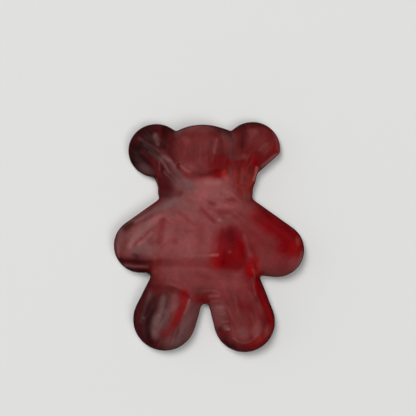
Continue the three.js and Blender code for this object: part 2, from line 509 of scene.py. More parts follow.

# Broad tones, laid on first: the gelatine's own red, with painted shade and painted sheen over it.
GROUND = (
    patch(SHEEN_OVER_SHADE, 0.8, (-30, 47), (14, 15), 0.5),  # left ear
    patch(PAINTED_DEEP_SHADE, 0.85, (-34.5, 47), (10, 15), 0.5),
    patch(PAINTED_DEEP_SHADE, 0.9, (-40, 47), (4.4, 13), 0.5),
    patch(SHADED_FLESH, 0.6, (-1, 48), (24, 14), 0.5),  # head
    patch(BLOOM_AND_SHEEN, 0.2, (-7, 50), (12, 9), 0.6, 10),
    patch(BLOOM_AND_SHEEN, 0.3, (-6, 37.5), (9, 4), 0.7, 10),
    patch(BLOOM_AND_SHEEN, 0.25, (12, 47), (5, 6), 0.7),
    patch(SHADED_FLESH, 0.9, (-23.4, 50), (3.6, 11), 0.5),  # between the left ear and the head
    patch(SHADED_FLESH, 0.5, (27, 47), (13, 13), 0.5),  # right ear
    patch(CLEAR, 0.2, (27, 47), (13, 13), 0.5),
    patch(PAINTED_DEEP_SHADE, 0.3, (-21, 30), (6, 9), 0.5, -30),  # neck
    patch(BLOOM_AND_SHEEN, 0.95, (1, 26), (13, 7), 0.5),
    patch(BLOOM_AND_SHEEN, 0.85, (0, 13), (28, 10), 0.5),  # chest
    patch(PAINTED_GREY_SHEEN, 0.6, (-18.5, 14), (10, 9), 0.5),
    patch(PAINTED_HIGHLIGHT, 0.3, (6, 20), (13, 8), 0.7, -30),
    patch(BLOOM_AND_SHEEN, 0.95, (-13, -2), (20, 18), 0.4),  # belly
    patch(BLOOM_AND_SHEEN, 0.5, (-2, -21), (26, 9), 0.5),
    patch(BLOOM_AND_SHEEN, 0.6, (-37, 1), (13, 10), 0.5, 20),  # left arm
    patch(PAINTED_GREY_SHEEN, 0.5, (-38, 2), (13, 11), 0.5, 20),
    patch(BLOOM_AND_SHEEN, 0.2, (27, -1), (16, 6), 0.5, -45),  # right arm
    patch(BLOOM_AND_SHEEN, 0.5, (32, -14), (14, 7), 0.5, -10),
    patch(BLOOM_AND_SHEEN, 0.3, (14, 15), (9, 8), 0.5),  # right of the chest
    patch(SHEEN_OVER_SHADE, 0.75, (-30, -44), (11, 19), 0.5, -12),  # left leg
    patch(PAINTED_DEEP_SHADE, 0.5, (-34, -42), (6, 18), 0.5, -12),
    patch(PAINTED_GREY_SHEEN, 0.55, (-13, -45), (8, 14), 0.5, -20),
    patch(SHADED_FLESH, 0.4, (14, -44), (10, 14), 0.5, 12),  # right leg
    patch(BLOOM_AND_SHEEN, 0.45, (8, -39), (6, 8), 0.7, 10),
    patch(SHADED_FLESH, 0.6, (11, -51), (6, 7), 0.7),
)

# Fine parallel wisps, most of them painted sheen and shade: tone, strength, middle and reach of an
# oval, turn in degrees, and spacing.
WISPS = (
    (BLOOM_AND_SHEEN, 0.22, (2, 46), (16, 13), 84, 1.6),  # down the face
    (SHADED_FLESH, 0.35, (2, 46), (18, 14), 80, 2.0),
    (BLOOM_AND_SHEEN, 0.3, (26, 47), (12, 12), 60, 2.0),
    (PAINTED_GREY_SHEEN, 0.15, (-30, 46), (11, 12), -45, 1.8),
    (PAINTED_ORANGE_GLOW, 0.2, (17, 32), (8, 10), 82, 1.4),  # down the right of the neck
    (SHADED_FLESH, 0.5, (16, 32), (8, 10), 78, 1.6),
    (PAINTED_GREY_SHEEN, 0.45, (-38, 2), (13, 11), 48, 2.2),  # across the left arm
    (FLESH, 0.5, (-34, 0), (13, 11), 48, 2.6),
    (FLESH, 0.4, (2, 15), (26, 12), -35, 2.4),  # down the chest
    (PAINTED_HIGHLIGHT, 0.3, (4, 20), (14, 10), -30, 1.8),
    (FLESH, 0.3, (-10, -6), (22, 16), 5, 4.5),  # across the belly
    (FLESH, 0.4, (-2, -22), (28, 9), -8, 2.4),
    (FLESH, 0.4, (28, -2), (14, 9), -50, 3.0),  # down the right arm
    (SHEEN_OVER_SHADE, 0.5, (-22, -44), (14, 18), 68, 2.2),  # down the left leg
    (PAINTED_GREY_SHEEN, 0.4, (-18, -44), (14, 18), 66, 1.8),
    (BLOOM_AND_SHEEN, 0.4, (18, -42), (14, 18), -70, 2.0),  # down the right leg
    (SHADED_FLESH, 0.5, (18, -42), (14, 18), -66, 2.0),
)

# Painted light and shade on the sides, by the way that they face: tone, strength, middle and reach
# of an oval, and the way that a side there faces, in degrees from the width axis.
SIDE_LIGHT_AND_SHADE = (
    (PAINTED_DEEP_SHADE, 0.95, (-30, 47), (20, 18), 180),  # left ear
    (PAINTED_DEEP_SHADE, 0.9, (-28, 58), (16, 8), 90),
    (PAINTED_DEEP_SHADE, 0.9, (-34, 36), (12, 8), -120),
    (BLOOM_AND_SHEEN, 0.6, (-8, 60), (15, 8), 90),  # head
    (SHEEN_OVER_SHADE, 0.6, (9, 60), (6, 8), 90),
    (SHEEN_OVER_SHADE, 0.9, (22, 62), (15, 8), 90),  # right ear
    (SHADED_FLESH, 0.7, (36, 56), (8, 9), 30),
    (CLEAR, 0.5, (40, 47), (8, 8), 0),
    (PAINTED_HIGHLIGHT, 0.7, (33, 40), (10, 8), -49),
    (SHADED_FLESH, 0.7, (-26, 28), (12, 12), 180),  # neck
    (CLEAR, 0.6, (24, 30), (12, 12), 0),
    (SHADED_FLESH, 0.6, (-54, 0), (8, 14), 180),  # left arm
    (PAINTED_DEEP_SHADE, 0.95, (-42, -17), (18, 8), -90),
    (CLEAR, 1, (36, 8), (26, 14), 50),  # right arm
    (PAINTED_GLOW, 0.7, (50, -6), (10, 12), 0),
    (BLOOM_AND_SHEEN, 0.8, (48, -16), (10, 8), -45),
    (BLOOM_AND_SHEEN, 0.7, (36, -20), (16, 8), -90),
    (CLEAR, 0.9, (28, -24), (10, 10), 0),  # hip
    (PAINTED_DEEP_SHADE, 0.95, (-38, -44), (14, 26), 180),  # left leg
    (SHEEN_OVER_SHADE, 0.9, (-22, -60), (22, 8), -90),
    (PAINTED_HIGHLIGHT, 0.7, (-6, -44), (10, 22), 0),
    (CLEAR, 0.95, (36, -40), (12, 26), 0),  # right leg
    (BLOOM_AND_SHEEN, 0.6, (0, -42), (6, 12), 180),
    (SHEEN_OVER_SHADE, 0.7, (14, -62), (14, 8), -110),
    (CLEAR, 0.6, (28, -60), (10, 8), -60),
)

# Marks on the front, in the order in which they are laid: painted highlights, glints, glow, sheen
# and shade among the gelatine's own tones.
MARKS = (
    # The left ear, and the bands of painted sheen that run from it over the neck.
    patch(FLESH, 0.2, (-37.5, 52), (3, 2), 0.9, 30),
    streak(FLESH, 0.25, 2.6, (-35.4, 45.4), (-32.6, 43), (-30, 39.6)),
    patch(PAINTED_DEEP_SHADE, 0.25, (-34.6, 47.4), (4, 3)),
    streak(PAINTED_GREY_SHEEN, 0.6, 2.2, (-28.6, 54.6), (-27.9, 52), (-27.2, 49.8)),
    patch(PAINTED_GREY_SHEEN, 0.5, (-33.8, 36), (4.4, 2.2), 0.7, -25),
    streak(PAINTED_DEEP_SHADE, 0.8, 3.4, (-23.8, 59), (-23.8, 53), (-24.4, 48.4)),
    patch(PAINTED_DEEP_SHADE, 0.6, (-20.4, 57), (3, 1.8), 0.6, -35),
    patch(PAINTED_DEEP_SHADE, 0.25, (-22.2, 48.6), (2, 7)),
    patch(SHEEN_OVER_SHADE, 0.45, (-21.6, 30.6), (3.6, 4.4), 0.7, -35),
    streak(PAINTED_GREY_SHEEN, 0.22, 1.6, (-37.6, 52.6), (-33, 50.2), (-28.6, 47.4), (-25, 43.8)),
    streak(PAINTED_GREY_SHEEN, 0.16, 1.3, (-35, 49.4), (-31, 47), (-27, 43)),
    streak(PAINTED_GREY_SHEEN, 0.2, 1.1, (-32.4, 45.4), (-29.6, 43.2), (-26.6, 40.2)),
    streak(PAINTED_GREY_SHEEN, 0.6, 2.6, (-24, 42.8), (-21.6, 41), (-19.6, 38), (-17.4, 34.6), (-14, 31.4), (-9.4, 28.4)),
    streak(PAINTED_HIGHLIGHT, 0.3, 1, (-23, 42.4), (-20.2, 40), (-18.2, 37.2)),
    streak(PAINTED_GREY_SHEEN, 0.5, 1.7, (-26.4, 42.4), (-24.6, 40), (-22.4, 36.6), (-19.4, 33), (-15.6, 29.2)),
    streak(PAINTED_HIGHLIGHT, 0.25, 0.8, (-23.6, 38.4), (-21, 34.6)),
    streak(SHADED_FLESH, 0.55, 1.1, (-27.4, 41.8), (-24, 36.6), (-20.6, 32.4), (-18.6, 30.6)),
    streak(PAINTED_GREY_SHEEN, 0.45, 1.2, (-23.8, 35.2), (-21.6, 32.6), (-19.2, 30.4)),
    patch(PAINTED_DEEP_SHADE, 0.5, (-25, 36.6), (1.2, 2.2), 0.6, 10),
    streak(FLESH, 0.5, 2.4, (-29.4, 41), (-28.6, 37.6), (-26.6, 33)),
    streak(PAINTED_HIGHLIGHT, 0.3, 0.9, (-26.9, 40), (-26.6, 36)),
    # The face.
    patch(BLOOM_AND_SHEEN, 0.35, (-12.4, 51.6), (2.6, 1.6), 0.6, -20),
    patch(BLOOM_AND_SHEEN, 0.35, (-16.4, 55.6), (2, 2.4), 0.6, -30),
    patch(BLOOM_AND_SHEEN, 0.3, (-7, 57.6), (7, 2), 0.7),
    patch(BLOOM_AND_SHEEN, 0.25, (3, 50), (7, 4), 0.9),
    patch(SHADED_FLESH, 0.5, (4, 55), (4, 2.2), 0.6),
    patch(PAINTED_GREY_SHEEN, 0.3, (9, 54), (2.6, 3)),
    streak(BLOOM_AND_SHEEN, 0.7, 1.6, (3.8, 52), (3, 45)),
    streak(SHADED_FLESH, 0.4, 2, (6.4, 52), (6.9, 46), (6, 43)),
    streak(PAINTED_DEEP_SHADE, 0.25, 2.2, (0.9, 50), (1, 43), (0.2, 38)),
    streak(PAINTED_GREY_SHEEN, 0.3, 3, (13.4, 54.6), (12.6, 49)),
    patch(PAINTED_GREY_SHEEN, 0.2, (13, 44), (3.4, 3), 0.7),
    patch(SHEEN_OVER_SHADE, 0.3, (4.6, 58.8), (4, 1.2), 0.6, -8),
    # The chin.
    patch(PAINTED_HIGHLIGHT, 0.3, (-10.4, 36.4), (4, 2.4), 0.8, -30),
    patch(BLOOM_AND_SHEEN, 0.3, (-14.4, 41), (3, 2.4), 0.8, -30),
    patch(PAINTED_HIGHLIGHT, 0.15, (0, 36), (7, 3), 0.9),
    patch(SHADED_FLESH, 0.85, (-16.4, 38), (1.4, 1.6), 0.6),
    streak(PAINTED_HIGHLIGHT, 0.2, 1.1, (-18.2, 38), (-17.2, 39.8), (-15, 39.8)),
    streak(PAINTED_HIGHLIGHT, 0.5, 1.3, (-15.2, 38.2), (-12.9, 36), (-10.4, 35)),
    streak(CLEAR, 0.2, 1.8, (-12, 32.6), (-8, 31), (-4, 31.4)),
    patch(CLEAR, 0.55, (4.4, 38), (6, 4.4), 0.7, 10),
    patch(CLEAR, 0.4, (7, 40.4), (2.6, 2.6), 0.7),
    streak(CLEAR, 0.6, 2.2, (-4.6, 32.6), (0, 32.4), (5, 32.8)),
    patch(CLEAR, 0.85, (4.4, 34.2), (3.4, 2.4), 0.5),
    patch(PAINTED_ORANGE_GLOW, 0.5, (8.2, 33.8), (1.8, 2), 0.6),
    streak(PAINTED_ORANGE_GLOW, 0.45, 1.2, (7.9, 35), (8.4, 32.2)),
    patch(PAINTED_HIGHLIGHT, 0.4, (9.6, 31.4), (1.4, 1.8), 0.7),
    # The right side of the neck.
    patch(CLEAR, 0.3, (17, 32), (7, 9), 0.6, 8),
    patch(FLESH, 0.3, (17, 31), (6, 8), 0.8, 8),
    patch(PAINTED_ORANGE_GLOW, 0.2, (17.6, 29.6), (6, 8), 0.8, 8),
    patch(PAINTED_GREY_SHEEN, 0.2, (13, 31), (3, 7), 0.7),
    streak(CLEAR, 0.3, 1.4, (9.8, 40.2), (17, 40.4), (24, 40)),
    streak(PAINTED_GREY_SHEEN, 0.15, 1.4, (11.2, 37), (11.8, 28)),
    patch(SHEEN_OVER_SHADE, 0.2, (15, 37), (1.8, 1.6), 0.7),
    streak(SHADED_FLESH, 0.5, 1, (16.4, 38), (15.4, 28.6)),
    streak(PAINTED_GREY_SHEEN, 0.25, 1.2, (18, 36), (17.4, 29)),
    streak(PAINTED_ORANGE_GLOW, 0.2, 1, (13.8, 35.4), (13.2, 27.6)),
    streak(SHADED_FLESH, 0.4, 1, (21.6, 37), (19.4, 29.4)),
    streak(PAINTED_HIGHLIGHT, 0.3, 0.9, (18, 26.4), (19.4, 21.6)),
    patch(BLOOM_AND_SHEEN, 0.4, (20.4, 22.6), (1.8, 2.2), 0.7),
    patch(PAINTED_HIGHLIGHT, 0.2, (19.8, 30.4), (3, 5), 0.8, 8),
    streak(CLEAR, 0.85, 2.6, (24.6, 41.4), (24.9, 37)),
    streak(CLEAR, 0.5, 1.6, (25.6, 35), (24.8, 31), (23.4, 26)),
    streak(PAINTED_ORANGE_GLOW, 0.4, 1.5, (25.4, 37), (24.4, 32.4), (22, 28.6), (19.6, 25.6)),
    streak(PAINTED_GLINT, 1, 1.7, (25.4, 36.8), (24.9, 33.4), (24, 30.6)),
    # The right ear.
    patch(BLOOM_AND_SHEEN, 0.45, (23.5, 56), (3, 2), 0.6, -15),
    patch(PAINTED_GREY_SHEEN, 0.15, (27.6, 52), (6, 5)),
    streak(BLOOM_AND_SHEEN, 0.4, 1.5, (27, 46.2), (30.6, 49.8)),
    streak(BLOOM_AND_SHEEN, 0.25, 1.2, (30.4, 45.4), (33.6, 48.6), (34.6, 52)),
    patch(BLOOM_AND_SHEEN, 0.4, (17.6, 42.8), (3, 1.2), 0.7, 20),
    streak(PAINTED_DEEP_SHADE, 0.6, 3.6, (19, 58.4), (18.4, 53), (18.4, 49)),
    patch(SHEEN_OVER_SHADE, 0.25, (16.4, 51.6), (2.4, 3)),
    patch(SHEEN_OVER_SHADE, 0.75, (15.8, 57.4), (2.2, 2.6), 0.6, 20),
    patch(SHEEN_OVER_SHADE, 0.6, (22, 60), (10, 2.4), 0.6, 5),
    patch(SHADED_FLESH, 0.5, (14.6, 56.5), (3, 2.4), 0.6, 30),
    streak(CLEAR, 0.6, 2.4, (33.6, 57.2), (36.4, 52.4), (37, 46.8)),
    streak(PAINTED_HIGHLIGHT, 0.4, 1.4, (34.6, 55.8), (36.6, 51), (36.8, 47)),
    patch(PAINTED_GLOW, 0.3, (35.8, 47), (2.4, 4)),
    streak(PAINTED_HIGHLIGHT, 0.7, 1.6, (36.6, 44.4), (32.7, 41.4), (28.4, 38.2)),
    # The throat and the collar.
    patch(PAINTED_GREY_SHEEN, 0.75, (-13, 27.4), (6.4, 3.6), 0.6, -20),
    streak(PAINTED_HIGHLIGHT, 1, 2.4, (-1.4, 28.8), (5.4, 28.9)),
    patch(PAINTED_HIGHLIGHT, 0.35, (9.6, 24), (4, 3.4), 0.7),
    patch(SHADED_FLESH, 0.15, (-13.4, 27.4), (3.4, 2.6)),
    patch(PAINTED_HIGHLIGHT, 0.4, (2, 25), (9, 4.5), 0.7),
    streak(PAINTED_HIGHLIGHT, 0.35, 1.5, (12.6, 22.7), (17.1, 18.8)),
    patch(PAINTED_DEEP_SHADE, 0.55, (-22.6, 25), (4, 3.6), 0.6, 15),
    streak(PAINTED_DEEP_SHADE, 0.5, 2.8, (-25.4, 22.2), (-20, 21.9), (-15.6, 22.8)),
    streak(PAINTED_GREY_SHEEN, 0.6, 1.2, (-28.2, 31), (-27.4, 26.5)),
    streak(PAINTED_GREY_SHEEN, 0.9, 2.8, (-24, 16), (-21.5, 17.4), (-17.6, 19.2)),
    streak(PAINTED_HIGHLIGHT, 0.3, 1.8, (-14, 21.8), (-5, 20.5)),
    # The chest.
    streak(PAINTED_HIGHLIGHT, 0.8, 1.4, (5, 9.3), (6.2, 9.2)),
    streak(FLESH, 0.6, 2, (-4.2, 15.1), (-0.5, 12), (2.5, 8.4)),
    patch(FLESH, 0.85, (8.2, 13.8), (4, 1.6), 0.6, -5),
    patch(FLESH, 0.5, (1.6, 18), (2.4, 1), 0.6, -10),
    patch(FLESH, 0.5, (11.8, 19.9), (2.6, 1), 0.6, -10),
    patch(FLESH, 0.45, (18.4, 8.6), (6.4, 5.6), 0.7, -20),
    streak(PAINTED_HIGHLIGHT, 0.3, 1.2, (8.6, 17.4), (13, 16)),
    patch(SHEEN_OVER_SHADE, 0.2, (-18.2, 14.8), (4.4, 3.2)),
    patch(PAINTED_ORANGE_GLOW, 0.12, (16.4, 17), (6, 3), 0.8, -25),
    # The left arm.
    streak(SHADED_FLESH, 0.3, 3.4, (-45.4, 3), (-44, 0), (-45, -5)),
    streak(PAINTED_GREY_SHEEN, 0.7, 2.8, (-39.4, 8.2), (-33, 12.6), (-25, 16.6)),
    streak(SHADED_FLESH, 0.4, 1.2, (-40, 9.4), (-34, 13.2), (-29, 16.2)),
    patch(SHADED_FLESH, 0.7, (-43.4, 4.4), (2.4, 1.8), 0.8, 30),
    streak(PAINTED_DEEP_SHADE, 0.8, 2.6, (-44.6, 5), (-43, 6.2), (-41.2, 7.2)),
    streak(PAINTED_GREY_SHEEN, 0.45, 2.2, (-47.4, 3.4), (-48.4, -2), (-48.3, -8)),
    streak(PAINTED_HIGHLIGHT, 0.4, 0.8, (-48.6, -3.4), (-48.5, -8), (-47.8, -11)),
    streak(FLESH, 0.4, 2, (-40, 5.6), (-35.6, 9), (-31, 11.6)),
    streak(
        PAINTED_HIGHLIGHT, 0.7, 2.8, (-41.5, -4.4), (-39.9, -0.8), (-36.8, 3), (-32.8, 7), (-28.6, 9.8), (-25.6, 10.8)
    ),
    streak(PAINTED_GREY_SHEEN, 0.4, 2, (-40.8, -2), (-39, 0.8), (-35.8, 4.4), (-31.4, 8.2)),
    streak(FLESH, 0.4, 1.5, (-40.2, -5.2), (-38, -2.8), (-35.6, -0.6)),
    streak(PAINTED_HIGHLIGHT, 0.5, 1.9, (-37.4, -4), (-34.8, -2), (-32.6, 0.4), (-30.8, 2.4)),
    patch(FLESH, 0.5, (-30.4, -2.4), (2, 2.2), 0.7),
    streak(FLESH, 0.8, 4, (-24.6, 9), (-25.8, 3), (-26.4, -2)),
    patch(PAINTED_GREY_SHEEN, 0.6, (-36, -7.6), (6.4, 2.8), 0.7),
    patch(SHEEN_OVER_SHADE, 0.6, (-39.4, -9.6), (2, 1.2), 0.6, -20),
    patch(SHEEN_OVER_SHADE, 0.45, (-36.8, -10.2), (3.4, 1.6), 0.7),
    streak(SHEEN_OVER_SHADE, 0.6, 3.2, (-46.4, -12), (-38, -12.4), (-31, -12.8)),
    streak(PAINTED_DEEP_SHADE, 0.62, 3.6, (-48, -13.1), (-42, -13.8), (-36, -14), (-31, -13.9)),
    streak(FLESH, 0.55, 4.8, (-26, -13), (-16, -13.2), (-8, -13.4), (0, -13.6)),
    streak(SHADED_FLESH, 0.4, 3, (-33, -13.4), (-26, -13.4)),
    streak(SHADED_FLESH, 0.12, 4, (-27, -13.4), (-12, -13.6)),
    streak(PAINTED_GREY_SHEEN, 0.6, 1.5, (-45.6, -15.4), (-41.4, -15.8), (-37.8, -16), (-32.8, -15.6)),
    streak(PAINTED_DEEP_SHADE, 0.95, 2.2, (-46.6, -16.8), (-41, -18), (-34, -18.1)),
    streak(CLEAR, 0.5, 0.9, (-40, -17.4), (-34.4, -17.2)),
    patch(CLEAR, 0.5, (-31.8, -16.6), (1.6, 1.4)),
    patch(PAINTED_GLOW, 0.3, (-28.4, -15.4), (1.3, 1.1), 0.6),
    # The belly and its wet place.
    patch(FLESH, 0.35, (-18, -2.5), (1.7, 1.7), 0.6),
    patch(FLESH, 0.5, (-4.6, 1.4), (2.8, 7.4), 0.9),
    patch(CLEAR, 0.45, (2.6, -4.6), (2.6, 7)),
    patch(CLEAR, 0.9, (11, -0.2), (6.2, 5.6)),
    patch(CLEAR, 0.9, (12.2, -5), (5.2, 4.8), 0.5),
    streak(CLEAR, 0.6, 2.4, (7, 4.4), (6.4, -1), (5.4, -6)),
    patch(CLEAR, 1, (12.2, -9.4), (7.4, 8), 0.4),
    patch(CLEAR, 0.95, (15.4, -12), (4.4, 5), 0.4),
    patch(CLEAR, 0.9, (6.6, -12.6), (5, 4.4), 0.7),
    patch(BLOOM_AND_SHEEN, 0.12, (9.6, -4), (4, 5)),
    patch(PAINTED_DEEP_SHADE, 0.35, (11.6, 1), (5, 4)),
    patch(PAINTED_GLOW, 0.5, (4, -13.2), (3, 4.4), 0.9),
    patch(PAINTED_GLOW, 0.35, (15.6, -9.6), (3, 5.6)),
    streak(PAINTED_DEEP_SHADE, 0.35, 1.6, (8.2, -7), (7.6, -14)),
    patch(PAINTED_HIGHLIGHT, 0.25, (11.2, -7.8), (0.8, 0.8), 0.6),
    streak(PAINTED_HIGHLIGHT, 0.3, 1.1, (-7.5, -9.4), (-1, -9.4), (4.6, -9.1)),
    streak(PAINTED_HIGHLIGHT, 0.45, 1.5, (1, -9), (4.4, -8.8)),
    streak(BLOOM_AND_SHEEN, 0.4, 1.5, (18.6, 1), (20.4, -5), (21.7, -10)),
    streak(CLEAR, 0.6, 2, (23.2, -6.5), (25.9, -13.3)),
    patch(CLEAR, 1, (22.4, -17), (3.6, 6), 0.5, -10),
    patch(CLEAR, 0.9, (26, -23.5), (3, 6), 0.6, -10),
    patch(PAINTED_GLOW, 0.9, (22, -16), (2, 4.6), 0.6, -10),
    patch(PAINTED_GLOW, 0.8, (24.4, -15.4), (1.8, 4.4), 0.7, -10),
    patch(PAINTED_GLOW, 0.7, (27, -22.4), (1.6, 3.8), 0.7, -10),
    patch(PAINTED_ORANGE_GLOW, 0.25, (26.4, -19.4), (1.6, 6), 0.8, -10),
    streak(PAINTED_DEEP_SHADE, 0.4, 1.2, (24, -12.5), (24.6, -16.4)),
    streak(PAINTED_HIGHLIGHT, 0.3, 1.1, (23.2, -17), (24.2, -20.6), (24.2, -25)),
    # The right arm.
    streak(CLEAR, 1, 9.4, (27.4, 11.4), (33.4, 6), (41.8, 2), (46, -2.4)),
    patch(CLEAR, 0.8, (39.4, -5.8), (3.4, 3.8), 0.6, -30),
    patch(PAINTED_DEEP_SHADE, 0.25, (39.6, -5.8), (2, 2.4), 0.7),
    patch(CLEAR, 0.35, (40, -10), (8, 8), 0.7),
    patch(FLESH, 0.25, (30, -4), (8, 8), 0.5),
    patch(PAINTED_GLOW, 0.6, (46.5, -6.5), (3.6, 7), 0.6),
    patch(PAINTED_GLINT, 0.35, (47.4, -2), (1.2, 1.9)),
    streak(PAINTED_HIGHLIGHT, 0.55, 1.8, (49.4, -8), (49, -13), (46.4, -17.4)),
    patch(PAINTED_HIGHLIGHT, 0.4, (46.2, -13.6), (2.6, 3), 0.8, -45),
    # Between the legs.
    patch(FLESH, 0.2, (-5, -19), (8, 4)),
    patch(PAINTED_HIGHLIGHT, 0.22, (3, -24.6), (13, 5.4), 0.9),
    patch(PAINTED_GLOW, 0.1, (3, -24.6), (13, 5.4), 0.9),
    patch(CLEAR, 0.5, (-2.8, -33.4), (3.4, 2.2), 0.7),
    patch(CLEAR, 0.4, (-5.6, -32.2), (3.2, 2.4), 0.8, -20),
    patch(PAINTED_GLOW, 0.3, (-6, -33), (2.6, 2.2)),
    streak(PAINTED_HIGHLIGHT, 0.3, 1, (-2.8, -28.7), (2.5, -28.4), (6, -30)),
    streak(PAINTED_HIGHLIGHT, 0.45, 1.2, (0.4, -31.8), (5.2, -31)),
    streak(PAINTED_HIGHLIGHT, 0.3, 0.9, (1.2, -34.4), (5.4, -33.7)),
    # The left leg.
    streak(PAINTED_HIGHLIGHT, 0.3, 1.2, (-20, -25.2), (-13.6, -28), (-9.4, -31)),
    streak(SHADED_FLESH, 0.8, 4, (-32, -26.8), (-23, -27.8), (-15.6, -29.2), (-12.5, -31)),
    patch(PAINTED_GREY_SHEEN, 0.2, (-31.6, -31), (1.6, 3.4), 0.8, -15),
    streak(PAINTED_GREY_SHEEN, 0.2, 1.5, (-31.8, -30), (-34.2, -37), (-36.4, -45)),
    streak(FLESH, 0.15, 2, (-35, -32), (-37.6, -41), (-37.8, -48)),
    streak(PAINTED_DEEP_SHADE, 0.85, 2.9, (-30.6, -39), (-31.6, -43), (-33, -50), (-30.8, -56)),
    streak(SHADED_FLESH, 0.6, 2.6, (-27.6, -28), (-26, -32)),
    streak(PAINTED_GREY_SHEEN, 0.62, 3.4, (-24.2, -32.6), (-25.4, -38.4), (-28.2, -45.6)),
    streak(PAINTED_GREY_SHEEN, 0.7, 5, (-27.4, -43), (-28.4, -48), (-28, -51.4)),
    patch(PAINTED_GREY_SHEEN, 0.4, (-23.4, -46.4), (2, 3.6), 0.8, -20),
    patch(PAINTED_GREY_SHEEN, 0.5, (-22.6, -40.8), (1.8, 3), 0.7, -10),
    streak(SHEEN_OVER_SHADE, 0.3, 1.6, (-21.8, -31), (-22.2, -37)),
    streak(PAINTED_HIGHLIGHT, 0.25, 3.2, (-17.8, -32), (-18.6, -37.6)),
    patch(PAINTED_GREY_SHEEN, 0.4, (-19.4, -35), (2.6, 4.4), 0.8, -8),
    streak(CLEAR, 0.85, 4.8, (-13, -30), (-12.8, -33), (-14.2, -37.2), (-16.2, -41.6), (-18.2, -45.4)),
    streak(PAINTED_ORANGE_GLOW, 0.15, 2.4, (-12.6, -32), (-14, -37.2), (-16, -41.6), (-18, -45.4)),
    patch(PAINTED_GLOW, 0.6, (-16.4, -42.4), (2, 1.8), 0.6),
    patch(FLESH, 0.5, (-18.6, -41), (1.6, 3.4), 0.7, -25),
    streak(FLESH, 0.85, 4.8, (-17.4, -44.8), (-20.2, -48), (-23.6, -51.2)),
    streak(CLEAR, 0.3, 3, (-17.2, -44.8), (-20, -48), (-22, -49.8)),
    streak(PAINTED_HIGHLIGHT, 0.8, 1.3, (-10.4, -33.2), (-11, -36.6), (-12.8, -40.4)),
    streak(PAINTED_GREY_SHEEN, 0.35, 4, (-9, -42), (-12, -50), (-16, -56)),
    streak(PAINTED_HIGHLIGHT, 0.6, 1, (-27.2, -41.6), (-26.6, -41.6)),
    streak(PAINTED_GREY_SHEEN, 0.6, 1.2, (-35, -42.9), (-34.6, -43.2)),
    patch(PAINTED_GREY_SHEEN, 0.45, (-20, -56), (5, 2.6), 0.6, -5),
    streak(PAINTED_GREY_SHEEN, 0.5, 2, (-23, -59.4), (-20, -59.8), (-15, -58.4)),
    patch(PAINTED_GREY_SHEEN, 0.5, (-11, -44), (3, 6), 0.8, -20),
    patch(BLOOM_AND_SHEEN, 0.3, (-10.4, -43), (3, 5), 0.8, -20),
    # The right leg.
    patch(PAINTED_GREY_SHEEN, 0.4, (5.6, -41), (3, 6.4), 0.7, 12),
    patch(PAINTED_GREY_SHEEN, 0.45, (4.4, -38), (2.4, 1.8)),
    patch(PAINTED_HIGHLIGHT, 0.25, (5, -38), (2, 1.6)),
    patch(SHADED_FLESH, 0.25, (12.4, -43), (3, 8), 0.8, 8),
    streak(PAINTED_HIGHLIGHT, 0.45, 1.3, (1.8, -38), (7, -37)),
    streak(PAINTED_HIGHLIGHT, 0.25, 0.9, (4.2, -41.4), (8.6, -40.6)),
    streak(PAINTED_HIGHLIGHT, 0.25, 0.9, (6, -45.2), (10, -44.6)),
    streak(BLOOM_AND_SHEEN, 0.5, 2, (1.8, -36), (3.4, -42), (4.8, -48)),
    patch(PAINTED_DEEP_SHADE, 0.5, (6, -49.2), (1.8, 1.6), 0.6),
    patch(PAINTED_GREY_SHEEN, 0.6, (9.2, -48), (1.9, 1.5), 0.6),
    streak(PAINTED_HIGHLIGHT, 0.75, 1.1, (9.7, -49), (10.8, -49)),
    patch(PAINTED_DEEP_SHADE, 0.45, (10, -55.6), (4, 3.4), 0.7, -30),
    patch(BLOOM_AND_SHEEN, 0.6, (16.6, -51.4), (5, 4), 0.7),
    patch(PAINTED_GREY_SHEEN, 0.3, (18, -50.4), (3, 2.6), 0.7),
    streak(PAINTED_DEEP_SHADE, 0.4, 2, (9, -56.4), (13, -58.4)),
    streak(PAINTED_DEEP_SHADE, 0.3, 2.4, (13, -58.4), (18, -59.6), (22, -59)),
    patch(BLOOM_AND_SHEEN, 0.45, (26, -48), (2.4, 4), 0.7, 10),
    patch(BLOOM_AND_SHEEN, 0.6, (31.2, -50.4), (1.8, 3.4), 0.8, -20),
    patch(PAINTED_HIGHLIGHT, 0.4, (25.4, -49.6), (2.4, 4)),
    patch(BLOOM_AND_SHEEN, 0.3, (19.6, -31.6), (4, 3)),
    patch(BLOOM_AND_SHEEN, 0.3, (17.6, -44), (4.4, 4.4)),
    streak(PAINTED_HIGHLIGHT, 0.35, 1.3, (13, -53.4), (15.6, -55.6), (19, -56.3), (22.8, -55.2), (25.8, -51.8)),
    streak(PAINTED_HIGHLIGHT, 0.25, 1, (22.9, -21.7), (24.8, -31)),
    streak(BLOOM_AND_SHEEN, 0.3, 2.4, (22.4, -30), (24.8, -38), (26, -44)),
    streak(
        CLEAR, 1, 3.8, (26, -22.6), (28.2, -31), (31.4, -38.2), (33.2, -45.5), (33.6, -51.5), (31.2, -56)
    ),
    streak(PAINTED_GLOW, 0.6, 2, (26.2, -24), (28.6, -32), (31.8, -40), (33.2, -48)),
    streak(CLEAR, 0.6, 3.4, (20.7, -58), (26, -55.6), (30, -51.4)),
    patch(PAINTED_ORANGE_GLOW, 0.4, (26.4, -55), (3, 2), 0.7, 50),
    patch(PAINTED_GLOW, 0.8, (24, -57.4), (1.8, 1.2), 0.6, 20),
    patch(PAINTED_GLINT, 0.2, (31.6, -50.2), (1.8, 3.2), 0.8, -15),
)


